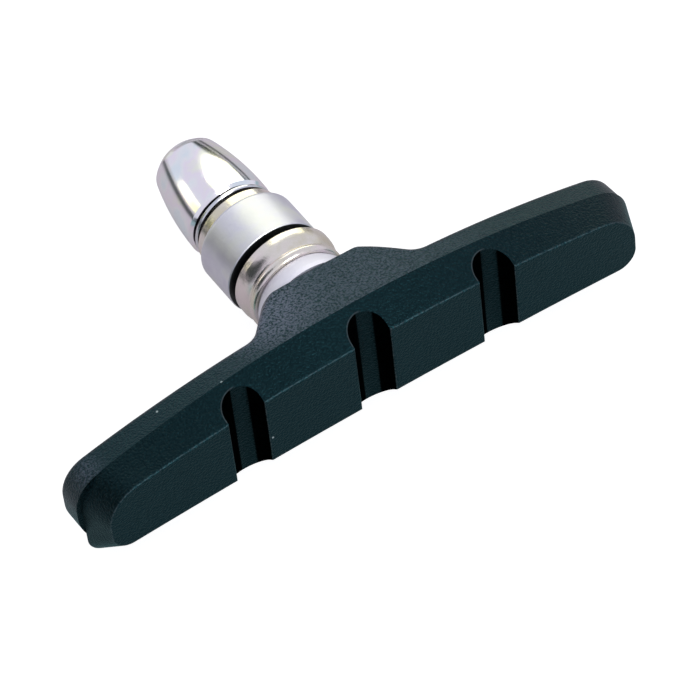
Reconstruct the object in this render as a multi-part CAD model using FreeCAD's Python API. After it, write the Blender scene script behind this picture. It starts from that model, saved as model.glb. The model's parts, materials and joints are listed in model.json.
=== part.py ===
import FreeCAD, Part
import math
import os

from FreeCAD import Vector

# A bicycle rim brake shoe: a moulded rubber pad on a threaded stud, with its ball washers and cap nut.
# It is drawn with the friction face on the plane y = 0 and the stud running along +Y.
# X runs along the pad and Z across it. At the end the whole shoe is tipped so that it lies at rest.
# All sizes are in millimetres.

# The friction half of the pad, from the friction face to the parting line of the mould
face_half_length = 34.0
face_top = 4.93
face_bottom = 5.0
face_top_radius = 195.0
face_bottom_radius = 580.0
face_top_corner = 4.8
face_shift = 0.12
face_bottom_corner = 2.3
parting_depth = 4.07
parting_half_length = 35.5
parting_shift = 0.35
parting_top = 7.15
parting_bottom = 8.75
parting_top_radius = 120.0
parting_bottom_radius = 560.0
parting_top_corner = 5.2
parting_bottom_corner = 2.7
face_edge_round = 0.22

# The water slots that cross the friction face
slot_count = 3
slot_pitch = 16.1
slot_width = 4.5
slot_depth = 2.97

# The back half of the pad, a little smaller than the friction half at the parting line
ledge = 0.28
back_end_overhang = 0.25
crown_end_draft = 0.15
back_top_corner = 4.4
back_bottom_corner = 6.2
crown_top_corner = 4.2
crown_bottom_corner = 2.5
pad_thickness = 7.2
back_hollow = 0.75
back_edge_round = 0.8
boss_edge_round = 0.3

# The boss that carries the stud
boss_height = 4.5
boss_half_width = 6.0
boss_top_half_length = 7.15
boss_foot_half_length = 10.1
boss_corner = 3.6
boss_foot_corner = 5.6
boss_foot_round = 2.2

# The steel plate moulded into the rubber
plate_thickness = 1.4
plate_cover = 0.95
plate_half_length = 29.0
plate_top = 4.6
plate_bottom = 5.6
plate_corner = 3.0
plate_key_hole = 1.7
plate_key_places = (12.5, 21.5)
plate_key_drop = 0.6

# The stud, with its riveted head, the shoulder inside the boss and the threaded shank
stud_offset = -0.8
thread_radius = 3.0
thread_end_gap = 0.2
thread_chamfer = 0.6
shoulder_radius = 4.6
rivet_neck_radius = 3.4
head_radius = 4.2
head_thickness = 1.1

# The ball washers. Each pair is a convex washer seated in the cup of a concave one
ball_radius = 6.4
ball_fit = 0.05
convex_bore = 3.35
cup_bore = 4.2
inner_pair_shift = 0.15
outer_pair_shift = -0.05
inner_convex_radius = 6.25
inner_convex_rim = 0.55
inner_convex_height = 4.5
inner_cup_lift = 2.8
inner_cup_height = 3.75
inner_cup_radius = 6.17
inner_cup_round_height = 1.4
inner_cup_round_depth = 0.42
inner_cup_bead_radius = 5.95
inner_cup_bead = 1.1
inner_cup_groove = 0.25
inner_cup_groove_width = 0.22
inner_cup_edge = 0.3
inner_cup_tilt = 1.5
loose_gap = 0.75
outer_cup_height = 6.15
outer_cup_radius = 6.08
outer_cup_shoulder = 0.6
outer_cup_face_radius = 5.72
outer_cup_edge = 0.12
outer_convex_radius = 5.3
outer_convex_rim = 1.55
outer_convex_edge = 0.25
outer_cup_mouth = 5.0
rim_clearance = 0.1

# The flat washer and the cap nut
washer_gap = 0.55
flat_radius = 5.05
flat_bore = 3.2
flat_thickness = 0.45
flat_edge = 0.12
nut_length = 10.6
nut_base_radius = 5.28
nut_base_chamfer = 0.35
nut_waist_radius = 4.95
nut_waist_height = 5.5
nut_nose_radius = 4.1
nut_nose_height = 9.85
nut_nose_round = 0.7
nut_lean = 2.0
thread_play = 0.15
socket_across_flats = 5.0
socket_depth = 4.6
socket_chamfer = 0.35

# How near to a plane an edge lies to count as being on it, and the least angle that makes an edge sharp
near = 0.01
sharp_angle = 12.0

# How the pad's outlines follow each other
back_half_length = parting_half_length + back_end_overhang
back_crown_half_length = back_half_length - crown_end_draft

# How the pieces stack along the stud
boss_face = pad_thickness + boss_height
plate_back = parting_depth + plate_cover
plate_front = plate_back + plate_thickness
inner_cup_start = boss_face + inner_cup_lift
inner_cup_end = inner_cup_start + inner_cup_height
outer_cup_start = inner_cup_end + loose_gap
outer_cup_end = outer_cup_start + outer_cup_height
outer_convex_end = outer_cup_end + rim_clearance + outer_convex_rim
flat_start = outer_convex_end + washer_gap
nut_start = flat_start + flat_thickness
nut_end = nut_start + nut_length
socket_floor = nut_end - socket_depth
thread_end = socket_floor - thread_end_gap


def arc(first, middle, last):
    """One edge through three points."""
    return Part.Arc(first, middle, last).toShape()


def corner_round(centre, radius, start, end):
    """The edge that rounds a corner between two points of a circle."""
    middle = (start + end) * 0.5 - centre
    middle.normalize()
    return arc(start, centre + middle * radius, end)


def arched_outline(y, half_length, top, top_radius, bottom, bottom_radius,
                   top_corner, bottom_corner, shift=0):
    """The pad's outline at one depth: both long edges arch the same way, as the rim does."""
    top_centre = Vector(shift, y, top - top_radius)
    bottom_centre = Vector(shift, y, -bottom - bottom_radius)

    top_reach = half_length - top_corner
    top_rise = math.sqrt((top_radius - top_corner) ** 2 - top_reach ** 2)
    bottom_reach = half_length - bottom_corner
    bottom_rise = math.sqrt((bottom_radius + bottom_corner) ** 2 - bottom_reach ** 2)

    points = {}
    for side in (-1, 1):
        upper = top_centre + Vector(side * top_reach, 0, top_rise)
        lower = bottom_centre + Vector(side * bottom_reach, 0, bottom_rise)
        along_top = upper - top_centre
        along_top.normalize()
        along_bottom = lower - bottom_centre
        along_bottom.normalize()
        points[side] = (
            upper,
            lower,
            top_centre + along_top * top_radius,
            Vector(shift + side * half_length, y, upper.z),
            Vector(shift + side * half_length, y, lower.z),
            bottom_centre + along_bottom * bottom_radius,
        )

    left_upper, left_lower, left_top, left_high, left_low, left_bottom = points[-1]
    right_upper, right_lower, right_top, right_high, right_low, right_bottom = points[1]
    return Part.Wire([
        arc(left_top, Vector(shift, y, top), right_top),
        corner_round(right_upper, top_corner, right_top, right_high),
        Part.LineSegment(right_high, right_low).toShape(),
        corner_round(right_lower, bottom_corner, right_low, right_bottom),
        arc(right_bottom, Vector(shift, y, -bottom), left_bottom),
        corner_round(left_lower, bottom_corner, left_bottom, left_low),
        Part.LineSegment(left_low, left_high).toShape(),
        corner_round(left_upper, top_corner, left_high, left_top),
    ])


def rounded_rectangle(y, half_length, half_width, corner):
    """A rectangle with round corners on the plane at depth y."""
    reach = half_length - corner
    width = half_width - corner
    bow = corner * math.sqrt(0.5)
    edges = []
    corners = ((1, 1), (1, -1), (-1, -1), (-1, 1))
    ends = []
    for sx, sz in corners:
        centre = Vector(sx * reach, y, sz * width)
        over = centre + Vector(0, 0, sz * corner)
        beside = centre + Vector(sx * corner, 0, 0)
        middle = centre + Vector(sx * bow, 0, sz * bow)
        ends.append((over, middle, beside) if sx * sz > 0 else (beside, middle, over))
    for index, (start, middle, end) in enumerate(ends):
        edges.append(arc(start, middle, end))
        following = ends[(index + 1) % len(ends)][0]
        edges.append(Part.LineSegment(end, following).toShape())
    return Part.Wire(edges)


def slot_cutter(x):
    """A slot's round-bottomed section, run right across the pad."""
    half = slot_width / 2
    wall = slot_depth - half
    reach = parting_bottom * 2
    corners = (
        Vector(x - half, -slot_width, -reach),
        Vector(x - half, wall, -reach),
        Vector(x, slot_depth, -reach),
        Vector(x + half, wall, -reach),
        Vector(x + half, -slot_width, -reach),
    )
    outline = Part.Wire([
        Part.LineSegment(corners[0], corners[1]).toShape(),
        arc(corners[1], corners[2], corners[3]),
        Part.LineSegment(corners[3], corners[4]).toShape(),
        Part.LineSegment(corners[4], corners[0]).toShape(),
    ])
    return Part.Face(outline).extrude(Vector(0, 0, 2 * reach))


def friction_half():
    """The drafted front half, with its slots and softened edges."""
    face = arched_outline(0, face_half_length, face_top, face_top_radius, face_bottom,
                          face_bottom_radius, face_top_corner, face_bottom_corner, face_shift)
    parting = arched_outline(parting_depth, parting_half_length, parting_top, parting_top_radius,
                             parting_bottom, parting_bottom_radius, parting_top_corner,
                             parting_bottom_corner, parting_shift)
    half = Part.makeLoft([face, parting], True, True)
    for index in range(slot_count):
        half = half.cut(slot_cutter((index - (slot_count - 1) / 2) * slot_pitch))
    rim = [edge for edge in half.Edges if edge.BoundBox.YMax < near]
    return half.makeFillet(face_edge_round, rim)


def is_sharp(solid, edge):
    """Whether two faces meet at an angle along an edge."""
    sides = solid.ancestorsOfType(edge, Part.Face)
    if len(sides) != 2:
        return False
    place = edge.valueAt((edge.FirstParameter + edge.LastParameter) / 2)
    normals = []
    for face in sides:
        u, v = face.Surface.parameter(place)
        normals.append(face.normalAt(u, v))
    return math.degrees(normals[0].getAngle(normals[1])) > sharp_angle


def back_half():
    """The back of the pad and its boss, with their long sides in one drafted surface."""
    foot = arched_outline(parting_depth, back_half_length, parting_top - ledge,
                          parting_top_radius, parting_bottom - ledge, parting_bottom_radius,
                          back_top_corner, back_bottom_corner)
    crown = arched_outline(boss_face, back_crown_half_length, boss_half_width,
                           parting_top_radius, boss_half_width, parting_bottom_radius,
                           crown_top_corner, crown_bottom_corner)
    sides = Part.makeLoft([foot, crown], True, True)

    reach = back_half_length + boss_height
    slab = Part.Wire([
        line((-reach, parting_depth), (reach, parting_depth)),
        line((reach, parting_depth), (reach, pad_thickness + back_hollow)),
        curve((reach, pad_thickness + back_hollow), (0, pad_thickness),
              (-reach, pad_thickness + back_hollow)),
        line((-reach, pad_thickness + back_hollow), (-reach, parting_depth)),
    ])
    slab = Part.Face(slab).extrude(Vector(0, 0, 4 * parting_bottom))
    slab.translate(Vector(0, 0, -2 * parting_bottom))
    low = rounded_rectangle(pad_thickness - boss_foot_round, boss_foot_half_length + boss_foot_round,
                            parting_bottom + boss_foot_round, boss_foot_corner)
    high = rounded_rectangle(boss_face, boss_top_half_length, boss_half_width + ledge, boss_corner)
    boss = Part.makeLoft([low, high], True, True)
    hump = slab.fuse(boss).removeSplitter()
    seam = [
        edge for edge in hump.Edges
        if is_sharp(hump, edge)
        and edge.BoundBox.YMin > pad_thickness - near
        and edge.BoundBox.YMax < pad_thickness + back_hollow / 2
        and edge.BoundBox.DiagonalLength < back_half_length
    ]
    hump = hump.makeFillet(boss_foot_round, seam)
    back = sides.common(hump)
    rim = [
        edge for edge in back.Edges
        if parting_depth + back_edge_round < edge.BoundBox.YMin < boss_face - near and is_sharp(back, edge)
    ]
    back = back.makeFillet(back_edge_round, rim)
    boss_rim = [edge for edge in back.Edges if edge.BoundBox.YMin > boss_face - near]
    return back.makeFillet(boss_edge_round, boss_rim)


def ring_section(points):
    """A closed section in the plane of the stud's axis, from radius and height pairs."""
    corners = [Vector(radius, height, 0) for radius, height in points]
    return Part.makePolygon(corners + [corners[0]])


def turned(wire, x):
    """A body turned about the stud's axis, set at its own place along X."""
    solid = Part.Face(wire).revolve(Vector(0, 0, 0), Vector(0, 1, 0), 360)
    solid.translate(Vector(x, 0, 0))
    return solid


def line(first, last):
    return Part.LineSegment(Vector(first[0], first[1], 0), Vector(last[0], last[1], 0)).toShape()


def curve(first, middle, last):
    return arc(Vector(first[0], first[1], 0), Vector(middle[0], middle[1], 0), Vector(last[0], last[1], 0))


def on_ball(centre, radius, height):
    """The distance from the axis of a ball's surface at one height."""
    return math.sqrt(radius ** 2 - (height - centre) ** 2)


def inset(height, depth):
    """How far a rounding that starts flush with a flank has come in, half-way up its height."""
    radius = (height ** 2 + depth ** 2) / (2 * depth)
    return radius - math.sqrt(radius ** 2 - (height / 2) ** 2)


def backing_plate():
    plate = Part.Face(arched_outline(plate_back, plate_half_length, plate_top, parting_top_radius,
                                     plate_bottom, parting_bottom_radius, plate_corner, plate_corner))
    plate = plate.extrude(Vector(0, plate_thickness, 0))
    along = Vector(0, 1, 0)
    neck = Part.makeCylinder(rivet_neck_radius, plate_thickness, Vector(stud_offset, plate_back, 0), along)
    plate = plate.cut(neck)
    for place in plate_key_places:
        for side in (-1, 1):
            drop = plate_key_drop + place ** 2 / (2 * parting_top_radius)
            hole = Part.makeCylinder(plate_key_hole, plate_thickness,
                                     Vector(side * place, plate_back, -drop), along)
            plate = plate.cut(hole)
    return plate


def stud():
    end = thread_end
    section = ring_section([
        (0, plate_back - head_thickness),
        (head_radius, plate_back - head_thickness),
        (head_radius, plate_back),
        (rivet_neck_radius, plate_back),
        (rivet_neck_radius, plate_front),
        (shoulder_radius, plate_front),
        (shoulder_radius, boss_face),
        (thread_radius, boss_face),
        (thread_radius, end - thread_chamfer),
        (thread_radius - thread_chamfer, end),
        (0, end),
    ])
    return turned(section, stud_offset)


def rubber_shoe(inserts):
    """The whole moulding, with the space that the plate and the stud fill."""
    body = friction_half().fuse(back_half()).removeSplitter()
    for insert in inserts:
        body = body.cut(insert)
    return body


def inner_convex_washer():
    """A flat foot on the boss and a ball-shaped flank that runs up into the cup."""
    base = boss_face
    rim = base + inner_convex_rim
    centre = rim - math.sqrt(ball_radius ** 2 - inner_convex_radius ** 2)
    top = base + inner_convex_height
    top_radius = on_ball(centre, ball_radius, top)
    middle = (rim + top) / 2
    section = Part.Wire([
        line((convex_bore, base), (inner_convex_radius, base)),
        line((inner_convex_radius, base), (inner_convex_radius, rim)),
        curve((inner_convex_radius, rim), (on_ball(centre, ball_radius, middle), middle), (top_radius, top)),
        line((top_radius, top), (convex_bore, top)),
        line((convex_bore, top), (convex_bore, base)),
    ])
    return turned(section, stud_offset + inner_pair_shift)


def inner_concave_washer():
    """A cup with a bead at its mouth, tilted a little on its ball, as it sits when the nut is slack."""
    base = inner_cup_start
    top = inner_cup_end
    rim = boss_face + inner_convex_rim
    centre = rim - math.sqrt(ball_radius ** 2 - inner_convex_radius ** 2)
    cup = ball_radius + ball_fit
    mouth = on_ball(centre, cup, base)
    floor = centre + math.sqrt(cup ** 2 - cup_bore ** 2)
    middle = (base + floor) / 2
    bead_top = base + inner_cup_bead
    bead_middle = (base + bead_top) / 2
    bead_foot = inner_cup_bead_radius - inner_cup_groove
    groove_top = bead_top + inner_cup_groove_width
    round_top = groove_top + inner_cup_round_height
    round_middle = round_top - inner_cup_round_height / 2
    round_inset = inset(inner_cup_round_height, inner_cup_round_depth)
    section = Part.Wire([
        line((mouth, base), (bead_foot, base)),
        curve((bead_foot, base), (inner_cup_bead_radius, bead_middle), (bead_foot, bead_top)),
        line((bead_foot, bead_top), (inner_cup_radius - inner_cup_round_depth, groove_top)),
        curve((inner_cup_radius - inner_cup_round_depth, groove_top),
              (inner_cup_radius - round_inset, round_middle), (inner_cup_radius, round_top)),
        line((inner_cup_radius, round_top), (inner_cup_radius, top - inner_cup_edge)),
        line((inner_cup_radius, top - inner_cup_edge), (inner_cup_radius - inner_cup_edge, top)),
        line((inner_cup_radius - inner_cup_edge, top), (cup_bore, top)),
        line((cup_bore, top), (cup_bore, floor)),
        curve((cup_bore, floor), (on_ball(centre, cup, middle), middle), (mouth, base)),
    ])
    washer = turned(section, stud_offset + inner_pair_shift)
    washer.rotate(Vector(stud_offset + inner_pair_shift, centre, 0), Vector(0, 0, -1), inner_cup_tilt)
    return washer


def outer_ball_centre():
    """The outer pair's ball is centred beyond the cup's mouth, towards the nut."""
    return outer_cup_end + math.sqrt((ball_radius + ball_fit) ** 2 - outer_cup_mouth ** 2)


def outer_concave_washer():
    """The thick cup washer, with a round shoulder at its mouth."""
    base = outer_cup_start
    top = outer_cup_end
    centre = outer_ball_centre()
    cup = ball_radius + ball_fit
    floor = centre - math.sqrt(cup ** 2 - cup_bore ** 2)
    middle = (top + floor) / 2
    shoulder = top - outer_cup_shoulder
    bow_radius = outer_cup_radius - inset(outer_cup_shoulder, outer_cup_radius - outer_cup_face_radius)
    bow_height = top - outer_cup_shoulder / 2
    section = Part.Wire([
        line((cup_bore, base), (outer_cup_radius - outer_cup_edge, base)),
        line((outer_cup_radius - outer_cup_edge, base), (outer_cup_radius, base + outer_cup_edge)),
        line((outer_cup_radius, base + outer_cup_edge), (outer_cup_radius, shoulder)),
        curve((outer_cup_radius, shoulder), (bow_radius, bow_height), (outer_cup_face_radius, top)),
        line((outer_cup_face_radius, top), (outer_cup_mouth, top)),
        curve((outer_cup_mouth, top), (on_ball(centre, cup, middle), middle), (cup_bore, floor)),
        line((cup_bore, floor), (cup_bore, base)),
    ])
    return turned(section, stud_offset + outer_pair_shift)


def outer_convex_washer():
    """The thin ball washer whose rim shows above the thick cup."""
    centre = outer_ball_centre()
    low = centre - math.sqrt(ball_radius ** 2 - convex_bore ** 2)
    rim = outer_cup_end + rim_clearance
    rim_ball = on_ball(centre, ball_radius, rim)
    top = outer_convex_end
    middle = (low + rim) / 2
    edge = outer_convex_edge
    section = Part.Wire([
        curve((convex_bore, low), (on_ball(centre, ball_radius, middle), middle), (rim_ball, rim)),
        line((rim_ball, rim), (outer_convex_radius, rim)),
        line((outer_convex_radius, rim), (outer_convex_radius, top - edge)),
        line((outer_convex_radius, top - edge), (outer_convex_radius - edge, top)),
        line((outer_convex_radius - edge, top), (convex_bore, top)),
        line((convex_bore, top), (convex_bore, low)),
    ])
    return turned(section, stud_offset + outer_pair_shift)


def flat_washer():
    low = flat_start
    top = nut_start
    section = ring_section([
        (flat_bore, low),
        (flat_radius - flat_edge, low),
        (flat_radius, low + flat_edge),
        (flat_radius, top - flat_edge),
        (flat_radius - flat_edge, top),
        (flat_bore, top),
    ])
    return turned(section, stud_offset)


def cap_nut():
    """A bullet-shaped nut, tapped from its base, with a hexagon socket in its nose."""
    base = nut_start
    nose = base + nut_nose_height
    section = Part.Wire([
        line((0, base), (nut_base_radius - nut_base_chamfer, base)),
        line((nut_base_radius - nut_base_chamfer, base), (nut_base_radius, base + nut_base_chamfer)),
        curve((nut_base_radius, base + nut_base_chamfer), (nut_waist_radius, base + nut_waist_height),
              (nut_nose_radius, nose)),
        line((nut_nose_radius, nose), (nut_nose_radius - nut_nose_round, nut_end)),
        line((nut_nose_radius - nut_nose_round, nut_end), (0, nut_end)),
        line((0, nut_end), (0, base)),
    ])
    nut = turned(section, 0)
    nose_edges = [
        edge for edge in nut.Edges
        if edge.BoundBox.YMin > nose - near and edge.BoundBox.YMax < nose + near
    ]
    nut = nut.makeFillet(nut_nose_round, nose_edges)

    along = Vector(0, 1, 0)
    tapped = Part.makeCylinder(thread_radius + thread_play, socket_floor - base, Vector(0, base, 0), along)
    across_corners = socket_across_flats / math.sqrt(3)
    hexagon = Part.makePolygon([
        Vector(across_corners * math.cos(math.radians(60 * turn)), socket_floor,
               across_corners * math.sin(math.radians(60 * turn)))
        for turn in range(7)
    ])
    socket = Part.Face(hexagon).extrude(Vector(0, socket_depth, 0))
    lead_in = Part.makeCone(across_corners - socket_chamfer, across_corners + socket_chamfer,
                            2 * socket_chamfer, Vector(0, nut_end - 2 * socket_chamfer, 0), along)
    nut = nut.cut(tapped).cut(socket).cut(lead_in)
    engaged = thread_end - base
    nut.rotate(Vector(0, base + engaged / 2, 0), Vector(0, 0, -1), nut_lean)
    lift = nut_base_radius * math.sin(math.radians(nut_lean))
    nut.translate(Vector(stud_offset, lift, 0))
    return nut


def rest_tilt():
    """The angle by which the stud dips when the pad's lower edge and the hardware touch the ground."""
    half = parting_half_length - parting_bottom_corner
    pad_low = -parting_bottom - half ** 2 / (2 * parting_bottom_radius)
    rings = [
        (inner_cup_end - inner_cup_edge, inner_cup_radius),
        (outer_cup_end - outer_cup_shoulder, outer_cup_radius),
        (nut_start + nut_base_chamfer, nut_base_radius),
        (nut_start + nut_waist_height, nut_waist_radius),
        (nut_start + (nut_waist_height + nut_nose_height) / 2, (nut_waist_radius + nut_nose_radius) / 2),
        (nut_start + nut_nose_height, nut_nose_radius),
    ]
    slopes = [(-radius - pad_low) / (height - parting_depth) for height, radius in rings]
    return math.degrees(math.atan(min(slopes)))


plate = backing_plate()
threaded_stud = stud()
nodes = {
    "rubber_shoe": rubber_shoe([plate, threaded_stud]),
    "backing_plate": plate,
    "threaded_stud": threaded_stud,
    "inner_convex_washer": inner_convex_washer(),
    "inner_concave_washer": inner_concave_washer(),
    "outer_concave_washer": outer_concave_washer(),
    "outer_convex_washer": outer_convex_washer(),
    "flat_washer": flat_washer(),
    "cap_nut": cap_nut(),
}

# The shoe lies on the pad's lower edge and on the nut, over the middle of its own footprint
tilt = rest_tilt()
for shape in nodes.values():
    shape.rotate(Vector(0, 0, 0), Vector(1, 0, 0), -tilt)
whole = Part.makeCompound(list(nodes.values())).optimalBoundingBox(True)
to_ground = Vector(-(whole.XMin + whole.XMax) / 2, -(whole.YMin + whole.YMax) / 2, -whole.ZMin)
print("tilt", round(tilt, 4), "shift", [round(value, 4) for value in to_ground])

os.makedirs("parts", exist_ok=True)
for name, shape in nodes.items():
    shape.translate(to_ground)
    if not shape.isValid() or len(shape.Solids) != 1:
        raise ValueError(name + " isn't one sound solid")
    shape.Solids[0].exportStep(os.path.join("parts", name + ".step"))
    print(name, round(shape.Volume, 2))
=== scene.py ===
import json
import math

import bpy
from mathutils import Matrix, Vector

# A bicycle rim brake shoe at rest on a white floor, seen from above its friction face.
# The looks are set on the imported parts. Lengths are in metres, apart from the spots, which are in
# millimetres of the pad's own axes. Directions are in the pad's own axes too.

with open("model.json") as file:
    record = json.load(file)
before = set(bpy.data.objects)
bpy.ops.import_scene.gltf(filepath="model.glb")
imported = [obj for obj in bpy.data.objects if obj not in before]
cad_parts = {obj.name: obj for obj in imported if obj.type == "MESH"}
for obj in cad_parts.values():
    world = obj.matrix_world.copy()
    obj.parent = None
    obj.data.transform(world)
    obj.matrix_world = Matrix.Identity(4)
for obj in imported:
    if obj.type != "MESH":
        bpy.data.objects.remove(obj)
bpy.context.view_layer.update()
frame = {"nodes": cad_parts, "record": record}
nodes = frame["nodes"]
record = frame["record"]
MM = 0.001


def mm(*lengths):
    """Lengths in millimetres, as metres."""
    return tuple(length * MM for length in lengths)


# The pad's own axes: X along it, Y along the stud, Z across it, from the middle of the friction face.
# The point of the record's friction face mount lies a little along the pad from that middle.
FACE_POINT = 8.05 * MM
face_mount = next(mount for mount in record["mounts"] if mount["name"] == "friction_face")
ALONG = Vector((1, 0, 0))
STUD = -Vector(face_mount["axis"]).normalized()
ACROSS = ALONG.cross(STUD)
ORIGIN = Vector(face_mount["pos_m"]) - ALONG * FACE_POINT
PAD = Matrix((
    (ALONG.x, STUD.x, ACROSS.x, ORIGIN.x),
    (ALONG.y, STUD.y, ACROSS.y, ORIGIN.y),
    (ALONG.z, STUD.z, ACROSS.z, ORIGIN.z),
    (0, 0, 0, 1),
))

# The camera, as the photograph was taken, in the pad's own axes
CAMERA_SPOT = (-148.576, -277.609, 370.480)
CAMERA_RIGHT = (0.833528, -0.546235, -0.082816)
CAMERA_DOWN = (-0.462209, -0.607347, -0.646137)
CAMERA_CLIP = (0.01, 20)
SENSOR_MM = 36.0
LENS_MM = 232.22

# The studio: a white floor, a pale room with dark places in it, and three soft panels round the shoe
STUD_MIDDLE = (0, 12, 0)
PANEL_DISTANCE = 0.6
# Each panel: direction, width and height, radiance, colour, and whether it lights dull surfaces too
PANELS = {
    "back_softbox": ((0.43, 0.69, 0.58), (0.66, 0.2), 1.45, (1.0, 1.0, 0.74), True),
    "edge_softbox": ((0.1, -0.84, 0.5), (0.2, 0.35), 8.0, (1.0, 1.0, 1.0), False),
    "left_softbox": ((-0.63, 0.74, 0.25), (0.2, 0.14), 1.0, (1.0, 1.0, 0.6), True),
}
ROOM_COLOUR = (0.67, 0.68, 0.77)
ROOM_DARK = (0.02, 0.03, 0.03)
# Dark places in the room: direction, and the angles where the dark starts to thin out and where it ends
DARK_PLACES = (
    ((-0.89, 0.1, 0.42), 17, 30),
    ((-0.7, 0.0, 0.71), 10, 19),
    ((-0.82, 0.45, 0.25), 12, 20),
    ((0.6, 0.79, 0.1), 9, 14),
    ((0.67, 0.74, 0.08), 7, 11),
    ((0.75, 0.66, 0.04), 6, 10),
    ((0.8, 0.61, 0.02), 4, 8),
)
FLOOR_SIZE = 4.0
# The floor as dull surfaces are lit by it
FLOOR_COLOUR = (0.9, 0.9, 0.92)
FLOOR_ROUGHNESS = 0.9
# The floor as the camera sees it: a glow, and a paint that takes the shadow
FLOOR_GLOW = 0.9
FLOOR_PAINT = (0.4, 0.4, 0.4)
# The floor in reflections: a grey glow that turns dark teal in front of the shoe as a painted shadow of the
# shoe, and two dark patches of painted shade
FLOOR_MIRRORED = (0.24, 0.22, 0.24)
FLOOR_FRONT = (0.02, 0.14, 0.15)
FLOOR_FRONT_DEPTHS = mm(14, 8)
FLOOR_SHADE_PATCHES = (((-58, 80, 2.4), mm(50, 30)), ((66, 112, 8), mm(62, 38)))
FLOOR_SHADE_DARKNESS = 0.9

BLACK = (0.0, 0.0, 0.0)
RUBBER_GRAIN = 4200.0
RUBBER_BUMP = (1.0, 0.14 * MM)
RUBBER_TONES = ((0.42, (0.0, 0.0002, 0.0004)), (0.66, (0.0028, 0.0078, 0.0085)))
RUBBER_ROUGHNESS = 0.3
RUBBER_IOR = 1.5
RUBBER_TINT = (0.22, 0.74, 0.88)
# The parting line of the mould, where the front half ends and the back half starts
PARTING_DEPTHS = mm(4.07, 4.12)
FRONT_DEPTHS = (*mm(0.15, 0.3), *PARTING_DEPTHS)
# Where painted grey highlights lie on the rubber: spot, reach and strength
PAINTED_HIGHLIGHTS = (
    ((-7.5, 9.5, 6.0), 8.0 * MM, 1.25),
    ((1.0, 9.0, 6.0), 24.0 * MM, 0.5),
    ((-33.4, 5.6, 2.2), 3.2 * MM, 0.5),
)
PAINTED_HIGHLIGHT_COLOUR = (0.145, 0.148, 0.195)
PAINTED_HIGHLIGHT_SPECKLE = (0.34, 0.66)
# A painted pale grey highlight on the friction face's fine round edge and round the slot mouths
EDGE_HIGHLIGHT_COLOUR = (0.05, 0.055, 0.056)
EDGE_HIGHLIGHT_DEPTHS = mm(0.02, 0.05, 0.12, 0.17)
EDGE_HIGHLIGHT_SPECKLE = (0.35, 0.6)
# Specks of dust on the rubber
SPECKS = ((-16.44, 4.31, 5.7), (-13.5, 0.0, -1.58), (-23.61, 6.1, 4.29))
SPECK_EDGE = mm(0.16, 0.096)
SPECK_COLOUR = (0.45, 0.52, 0.5)
# The cross slots: straight walls down to SLOT_WALL, then a round root
SLOT_PITCH = 16.1 * MM
SLOT_HALF_WIDTH = 2.29 * MM
SLOT_WALL = 0.72 * MM
SLOT_EDGE = (SLOT_HALF_WIDTH, 0.985 * SLOT_HALF_WIDTH)
SLOTS_END = (1.5 * SLOT_PITCH, 1.4 * SLOT_PITCH)
MOUTH_LINE = tuple(share * SLOT_HALF_WIDTH for share in (0.98, 1.0, 1.03, 1.06))
MOUTH_DEPTHS = mm(0.2, 0.4)
MOUTH_SIDE = mm(0.6, 0.0)
LIT_STRIPE = mm(-0.25, -0.05, 1.35, 1.6)
# How far the painted shade takes the unlit slots to black, and how strongly each part of the rubber
# reflects
UNLIT_BLACK = 0.8
PLAIN_SHINE = 0.5
UNLIT_SHINE_LOSS = -0.33
FRONT_SHINE_LOSS = -0.19

PLATING_SPAN = (0.36, 0.64)
PLATING_DETAIL = 3
POLISH_DRIFT = 0.25
METAL_GRAIN_DEPTH = 0.05 * MM
# The satin zinc by its depth: the washer by the boss is paler and duller, and the cup's underside gets
# painted shade
PALE_DEPTHS = mm(17.4, 17.0)
PALE_DULLER = 0.16
UNDERSIDE_SHADE_DEPTHS = mm(17.8, 18.0, 19.01, 19.05)
UNDERSIDE_SHADE_COLOUR = (0.07, 0.08, 0.08)


def turned(direction):
    """A direction in the pad's axes, as a unit vector of the frame."""
    return (PAD.to_3x3() @ Vector(direction)).normalized()


def placed(spot):
    """A spot in millimetres of the pad's axes, as a place in the frame."""
    return PAD @ (Vector(spot) * MM)


def stand(thing, place, right, up, back):
    """Stands a camera or a lamp at a place, by its own three axes."""
    thing.matrix_world = Matrix.Translation(place) @ Matrix((right, up, back)).transposed().to_4x4()
    bpy.context.scene.collection.objects.link(thing)


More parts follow.
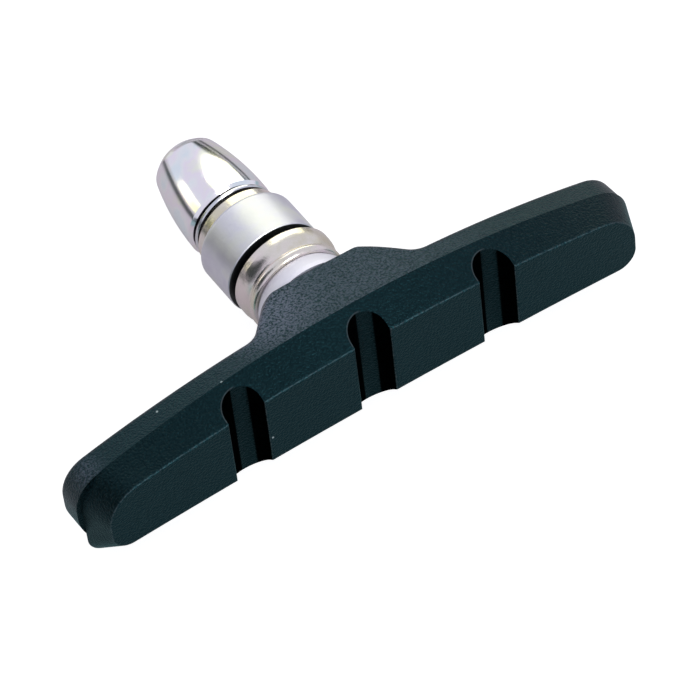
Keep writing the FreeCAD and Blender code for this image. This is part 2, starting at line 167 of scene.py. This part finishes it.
class Graph:
    """The nodes of a material or of the world, and the sums that are built from them."""

    def __init__(self, owner, place):
        owner.use_nodes = True
        self.tree = owner.node_tree.nodes
        self.links = owner.node_tree.links
        self.place = self.add("TexCoord").outputs[place]

    def fill(self, node, inputs):
        """Puts node outputs, colours and other plain values into a node's sockets, by name or number."""
        for key, value in inputs.items():
            socket = node.inputs[key]
            if isinstance(value, bpy.types.NodeSocket):
                self.links.new(value, socket)
            elif isinstance(value, tuple):
                socket.default_value = (*value, 1)
            else:
                socket.default_value = value

    def add(self, kind, inputs=None, operation=None):
        """A new node of one kind, filled."""
        node = self.tree.new("ShaderNode" + kind)
        if operation:
            node.operation = operation
        self.fill(node, inputs or {})
        return node

    def worked(self, operation, *terms):
        """The result of one sum on values."""
        return self.add("Math", dict(enumerate(terms)), operation).outputs["Value"]

    def product(self, result, *factors):
        """A value multiplied by others, one after another."""
        for factor in factors:
            result = self.worked("MULTIPLY", result, factor)
        return result

    def between(self, value, first, last):
        """A value that goes smoothly from nothing to one as another goes from first to last."""
        step = self.add("MapRange", {"Value": value, "From Min": first, "From Max": last})
        step.interpolation_type = "SMOOTHSTEP"
        return step.outputs["Result"]

    def band(self, value, first, full, fading, last):
        """A value that is one from full to fading, and nothing before first and after last."""
        return self.product(self.between(value, first, full), self.between(value, last, fading))

    def blend(self, factor, under, over):
        """A colour that goes from one colour to another."""
        return self.add("MixRGB", {"Fac": factor, "Color1": under, "Color2": over}).outputs["Color"]

    def reach_from(self, spot):
        """How far a point of the surface is from a spot."""
        return self.add("VectorMath", {0: self.place, 1: placed(spot)}, "DISTANCE").outputs["Value"]

    def measure(self, axis):
        """How far along an axis of the pad a point of the surface lies."""
        shifted = self.add("VectorMath", {0: self.place, 1: ORIGIN}, "SUBTRACT").outputs["Vector"]
        return self.add("VectorMath", {0: shifted, 1: axis}, "DOT_PRODUCT").outputs["Value"]

    def noise(self, scale, detail=2):
        """A value that wanders over the surface, mostly near a half."""
        return self.add("TexNoise", {"Vector": self.place, "Scale": scale, "Detail": detail}).outputs["Fac"]

    def ramp(self, value, stops):
        """A colour that runs through two or more (place, colour) stops."""
        ramp = self.add("ValToRGB", {"Fac": value})
        elements = ramp.color_ramp.elements
        while len(elements) < len(stops):
            elements.new(0.5)
        for element, (place, colour) in zip(elements, stops):
            element.position = place
            element.color = (*colour, 1)
        return ramp.outputs["Color"]

    def bump(self, height, strength, depth):
        """The surface's normal, roughened by a height."""
        bump = self.add("Bump", {"Height": height, "Strength": strength, "Distance": depth})
        return bump.outputs["Normal"]

    def glow(self, colour, strength=1.0):
        """A shader that gives light of its own."""
        return self.add("Emission", {"Color": colour, "Strength": strength}).outputs["Emission"]

    def both(self, first, second):
        """Two shaders added together."""
        return self.add("AddShader", {0: first, 1: second}).outputs["Shader"]

    def choice(self, factor, nothing, one):
        """The shader for a factor of nothing, mixed with the shader for one."""
        return self.add("MixShader", {"Fac": factor, 1: nothing, 2: one}).outputs["Shader"]

    def ray(self, kind):
        """One for light paths of a kind, and nothing for others."""
        return self.add("LightPath").outputs[kind]


def new_material(name):
    """A material with its graph, measured from places on the surface, and its principled shader."""
    material = bpy.data.materials.new(name + "_look")
    graph = Graph(material, "Object")
    return material, graph, graph.tree["Principled BSDF"]


def rubber():
    """Black rubber: fine moulded grain, painted highlights by the boss and along the edges, slots dull and
    painted black as shade, and specks of dust.
    """
    material, graph, shader = new_material("black_rubber")
    grain = graph.noise(RUBBER_GRAIN)
    depth = graph.measure(STUD)
    length = graph.measure(ALONG)
    colour = graph.ramp(grain, RUBBER_TONES)

    # The painted highlights lie on the back half only
    behind = graph.between(depth, *PARTING_DEPTHS)
    speckle = graph.between(grain, *PAINTED_HIGHLIGHT_SPECKLE)
    for spot, reach, strength in PAINTED_HIGHLIGHTS:
        fade = graph.between(graph.reach_from(spot), reach, 0.0)
        colour = graph.blend(graph.product(fade, behind, speckle, strength), colour, PAINTED_HIGHLIGHT_COLOUR)

    # The fine round along the friction face's edges gets a painted grey highlight
    edge_highlight = graph.product(graph.band(depth, *EDGE_HIGHLIGHT_DEPTHS), graph.between(grain, *EDGE_HIGHLIGHT_SPECKLE))
    colour = graph.blend(edge_highlight, colour, EDGE_HIGHLIGHT_COLOUR)

    # How far a point lies across from the nearest slot's middle, and from the middle of its round root
    shifted = graph.worked("ADD", length, SLOT_PITCH / 2)
    across = graph.worked("SUBTRACT", graph.worked("FLOORED_MODULO", shifted, SLOT_PITCH), SLOT_PITCH / 2)
    below = graph.worked("MAXIMUM", graph.worked("SUBTRACT", depth, SLOT_WALL), 0.0)
    squares = [graph.worked("POWER", leg, 2.0) for leg in (across, below)]
    from_slot = graph.worked("SQRT", graph.worked("ADD", *squares))
    slotted = graph.between(graph.worked("ABSOLUTE", length), *SLOTS_END)

    # A thin pale line, a painted highlight, runs round the left half of each slot's mouth in the pad's
    # sides
    mouth = graph.product(graph.band(from_slot, *MOUTH_LINE), slotted, graph.between(depth, *MOUTH_DEPTHS),
                          graph.between(across, *MOUTH_SIDE))
    colour = graph.blend(mouth, colour, EDGE_HIGHLIGHT_COLOUR)

    for spot in SPECKS:
        speck = graph.between(graph.reach_from(spot), *SPECK_EDGE)
        colour = graph.blend(speck, colour, SPECK_COLOUR)

    # The slots are dull and painted black as shade, apart from one stripe along each floor that is left lit
    in_slot = graph.product(graph.between(from_slot, *SLOT_EDGE), slotted)
    stripe = graph.band(across, *LIT_STRIPE)
    unlit = graph.product(in_slot, graph.worked("SUBTRACT", in_slot, stripe))
    colour = graph.blend(graph.product(unlit, UNLIT_BLACK), colour, BLACK)

    # The sides of the front half reflect less than the back half does
    front = graph.band(depth, *FRONT_DEPTHS)
    losses = (graph.product(unlit, UNLIT_SHINE_LOSS), graph.product(front, FRONT_SHINE_LOSS))

    graph.fill(shader, {
        "Base Color": colour,
        "Specular IOR Level": graph.worked("ADD", graph.worked("ADD", *losses), PLAIN_SHINE),
        "Specular Tint": RUBBER_TINT,
        "Roughness": RUBBER_ROUGHNESS,
        "IOR": RUBBER_IOR,
        "Normal": graph.bump(grain, *RUBBER_BUMP),
    })
    return material


def metal(name, tints, roughness, drift=300.0, grain=None, pale=None):
    """A metal whose plating drifts between a few tints.

    A satin one has a grain, by its scale and strength. The pale tint is for the washer by the boss; with
    it, the cup's underside gets painted shade too.
    """
    material, graph, shader = new_material(name)
    patches = graph.noise(drift, PLATING_DETAIL)
    first, last = PLATING_SPAN
    step = (last - first) / (len(tints) - 1)
    colour = graph.ramp(patches, [(first + step * index, tint) for index, tint in enumerate(tints)])
    dullness = graph.add("MapRange", {
        "Value": patches,
        "To Min": roughness * (1 - POLISH_DRIFT),
        "To Max": roughness * (1 + POLISH_DRIFT),
    }).outputs["Result"]
    if pale:
        depth = graph.measure(STUD)
        near_boss = graph.between(depth, *PALE_DEPTHS)
        colour = graph.blend(near_boss, colour, pale)
        dullness = graph.worked("ADD", dullness, graph.product(near_boss, PALE_DULLER))
        # The cup's underside is painted dark as shade
        colour = graph.blend(graph.band(depth, *UNDERSIDE_SHADE_DEPTHS), colour, UNDERSIDE_SHADE_COLOUR)
    graph.fill(shader, {"Metallic": 1.0, "Base Color": colour, "Roughness": dullness})
    if grain:
        scale, strength = grain
        graph.fill(shader, {"Normal": graph.bump(graph.noise(scale), strength, METAL_GRAIN_DEPTH)})
    return material


def dress(material, *pieces):
    """Gives pieces their material."""
    for piece in pieces:
        data = nodes[piece].data
        data.materials.clear()
        data.materials.append(material)


def add_camera():
    data = bpy.data.cameras.new("camera")
    data.lens = LENS_MM
    data.sensor_width = SENSOR_MM
    data.sensor_fit = "HORIZONTAL"
    data.clip_start, data.clip_end = CAMERA_CLIP
    camera = bpy.data.objects.new("camera", data)
    right = turned(CAMERA_RIGHT)
    up = -turned(CAMERA_DOWN)
    stand(camera, placed(CAMERA_SPOT), right, up, right.cross(up))
    bpy.context.scene.camera = camera


def add_floor():
    """A white floor with a faint shadow for the camera, and a darker one for reflections, with painted
    shade in front of the shoe and in two patches.
    """
    bpy.ops.mesh.primitive_plane_add(size=FLOOR_SIZE, location=(0, 0, 0))
    floor = bpy.context.object
    floor.name = "floor"
    material, graph, shader = new_material("floor")
    graph.fill(shader, {"Base Color": FLOOR_COLOUR, "Roughness": FLOOR_ROUGHNESS, "Specular IOR Level": 0})

    paint = graph.add("BsdfDiffuse", {"Color": FLOOR_PAINT}).outputs["BSDF"]
    before_shoe = graph.between(graph.measure(STUD), *FLOOR_FRONT_DEPTHS)
    mirrored = graph.both(graph.glow(graph.blend(before_shoe, FLOOR_MIRRORED, FLOOR_FRONT)), paint)
    patches = [graph.between(graph.reach_from(spot), *edge) for spot, edge in FLOOR_SHADE_PATCHES]
    patch = graph.product(graph.worked("MAXIMUM", *patches), FLOOR_SHADE_DARKNESS)
    reflected = graph.choice(patch, mirrored, graph.glow(ROOM_DARK))

    unseen = graph.choice(graph.ray("Is Glossy Ray"), shader.outputs["BSDF"], reflected)
    seen = graph.both(graph.glow((1.0, 1.0, 1.0), FLOOR_GLOW), paint)
    surface = graph.choice(graph.ray("Is Camera Ray"), unseen, seen)
    graph.fill(graph.tree["Material Output"], {"Surface": surface})
    floor.data.materials.append(material)


def add_world():
    """A pale even room with a few dark places, and light grey where the camera looks past the floor."""
    world = bpy.data.worlds.new("studio")
    bpy.context.scene.world = world
    graph = Graph(world, "Generated")
    colour = ROOM_COLOUR
    for direction, near, far in DARK_PLACES:
        aim = graph.add("VectorMath", {0: graph.place, 1: turned(direction)}, "DOT_PRODUCT")
        dark = graph.add("MapRange", {
            "Value": aim.outputs["Value"],
            "From Min": math.cos(math.radians(far)),
            "From Max": math.cos(math.radians(near)),
        })
        colour = graph.blend(dark.outputs["Result"], colour, ROOM_DARK)
    room = graph.tree["Background"]
    graph.fill(room, {"Color": colour})
    beyond = graph.add("Background").outputs["Background"]
    surface = graph.choice(graph.ray("Is Camera Ray"), room.outputs["Background"], beyond)
    graph.fill(graph.tree["World Output"], {"Surface": surface})


def add_panel(name, direction, size, radiance, colour, lights_dull):
    """A plain soft panel that faces the middle of the stud."""
    data = bpy.data.lights.new(name, "AREA")
    data.shape = "RECTANGLE"
    width, height = size
    data.size = width
    data.size_y = height
    data.energy = radiance * math.pi * width * height
    data.color = colour
    lamp = bpy.data.objects.new(name, data)
    lamp.visible_diffuse = lights_dull
    outward = turned(direction)
    side = STUD.cross(outward).normalized()
    stand(lamp, placed(STUD_MIDDLE) + outward * PANEL_DISTANCE, side, outward.cross(side), outward)


dress(rubber(), "rubber_shoe")
dress(metal("plain_steel", tints=((0.38, 0.38, 0.4), (0.43, 0.42, 0.42)), roughness=0.4),
      "backing_plate")
dress(metal("zinc_stud", tints=((0.72, 0.74, 0.8), (0.78, 0.77, 0.76)), roughness=0.22),
      "threaded_stud", "flat_washer")
dress(metal("satin_zinc", tints=((0.75, 0.74, 0.82), (0.82, 0.82, 0.87), (0.86, 0.87, 0.84)),
            roughness=0.44, drift=260, grain=(1800, 0.35), pale=(0.94, 0.93, 1.0)),
      "inner_convex_washer", "outer_concave_washer")
dress(metal("polished_cup", tints=((0.8, 0.74, 0.58), (0.86, 0.81, 0.73), (0.9, 0.8, 0.78)),
            roughness=0.24, drift=320, grain=(2400, 0.3)),
      "inner_concave_washer", "outer_convex_washer")
dress(metal("bright_nut", tints=((0.9, 0.97, 1.0), (0.99, 0.99, 1.0), (1.0, 0.93, 1.0), (1.0, 1.0, 0.9)),
            roughness=0.13, drift=280),
      "cap_nut")

add_camera()
add_floor()
add_world()
for panel, settings in PANELS.items():
    add_panel(panel, *settings)

bpy.context.scene.view_settings.view_transform = "Standard"
